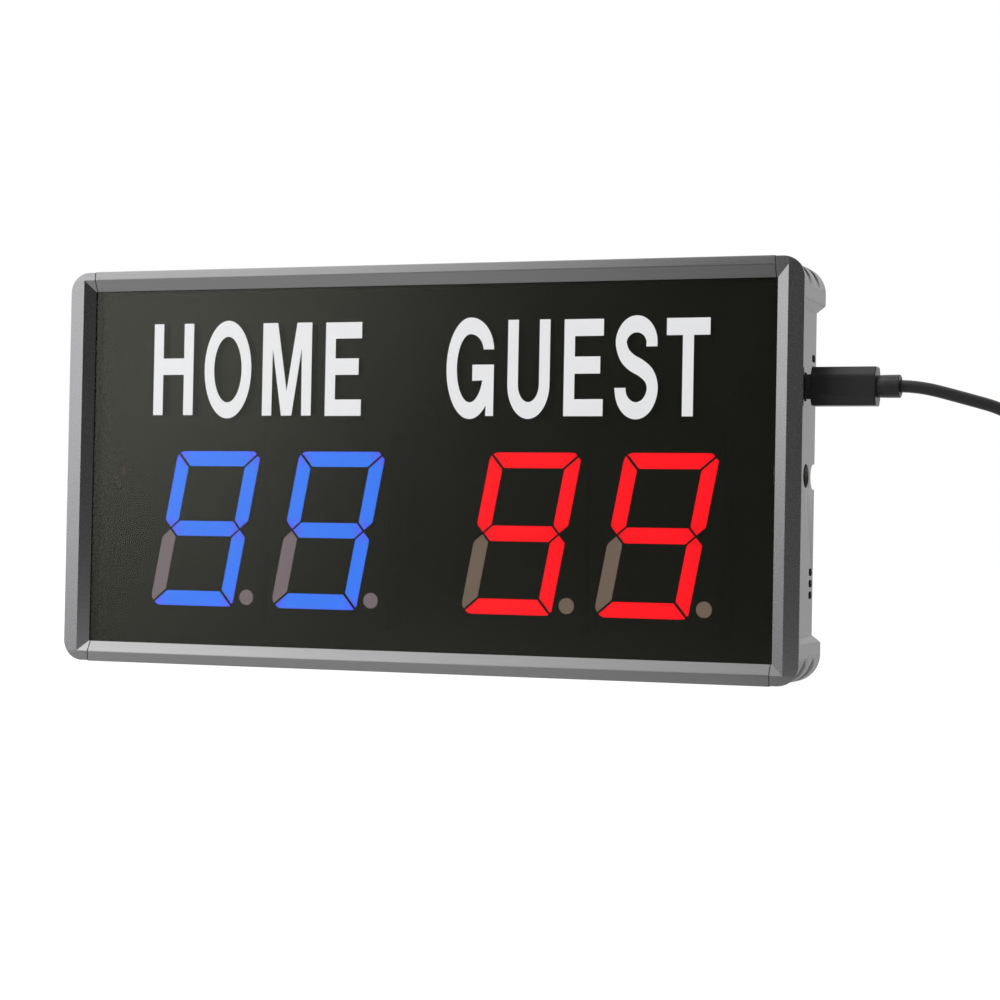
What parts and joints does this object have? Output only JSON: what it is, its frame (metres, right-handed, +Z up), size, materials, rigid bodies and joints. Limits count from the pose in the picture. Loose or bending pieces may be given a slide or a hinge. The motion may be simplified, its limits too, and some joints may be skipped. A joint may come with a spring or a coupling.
{
  "type": "electronic scoreboard",
  "caption": "Tabletop electronic scoreboard: flat rectangular case with a smoked window that shows home and guest scores in lit segment digits, powered by a USB lead.",
  "frame": {"origin": "middle of the case's footprint, on the surface it stands on", "axes": "+X to the right as seen from the front, +Y from the window to the rear panel, +Z up"},
  "size_m": [0.3499, 0.0454, 0.117],
  "materials": {
    "rail_metal": "satin grey anodised",
    "cap_plastic": "fine satin grey paint",
    "window": "gloss smoked acrylic",
    "panel_plastic": "fine grained",
    "screw_steel": "zinc plated",
    "insert_metal": "turned",
    "board": "black solder mask",
    "chip_black": "moulded",
    "bare_tin": "tin plated",
    "digit_black": "moulded",
    "lit_blue": "lit diffuser",
    "lit_red": "lit diffuser",
    "unlit_blue_side": "unlit diffuser",
    "unlit_red_side": "unlit diffuser",
    "lead_black": "smooth black sheath",
    "blade_white": "moulded"
  },
  "bodies": {
    "case": {"top_rail": "rail_metal", "bottom_rail": "rail_metal", "left_end_cap": "cap_plastic", "right_end_cap": "cap_plastic", "front_lens": "window", "rear_panel": "panel_plastic", "rear_screws": "screw_steel", "left_bracket_insert": "insert_metal", "right_bracket_insert": "insert_metal", "main_board": "board", "board_posts": "insert_metal", "board_screws": "chip_black", "controller_chip": "chip_black", "driver_chips": "chip_black", "buzzer": "chip_black", "power_capacitor": "chip_black", "remote_receiver": "chip_black", "socket_shell": "bare_tin", "socket_blade": "chip_black", "digit_1_housing": "digit_black", "digit_1_lit_segments": "lit_blue", "digit_1_dark_segments": "unlit_blue_side", "digit_1_pins": "bare_tin", "digit_2_housing": "digit_black", "digit_2_lit_segments": "lit_blue", "digit_2_dark_segments": "unlit_blue_side", "digit_2_pins": "bare_tin", "digit_3_housing": "digit_black", "digit_3_lit_segments": "lit_red", "digit_3_dark_segments": "unlit_red_side", "digit_3_pins": "bare_tin", "digit_4_housing": "digit_black", "digit_4_lit_segments": "lit_red", "digit_4_dark_segments": "unlit_red_side", "digit_4_pins": "bare_tin"},
    "lead": {"plug_nose": "bare_tin", "plug_grip": "lead_black", "plug_collar": "lead_black", "lead_free": "lead_black", "lead_coil": "lead_black", "lead_tail": "lead_black", "power_collar": "lead_black", "power_grip": "lead_black", "power_shell": "bare_tin", "power_blade": "blade_white"}
  },
  "joints": [
    {"name": "plug_pull", "type": "slide", "parent": "case", "child": "lead", "axis": [1, 0, 0], "range_m": [0, 0.007]}
  ]
}
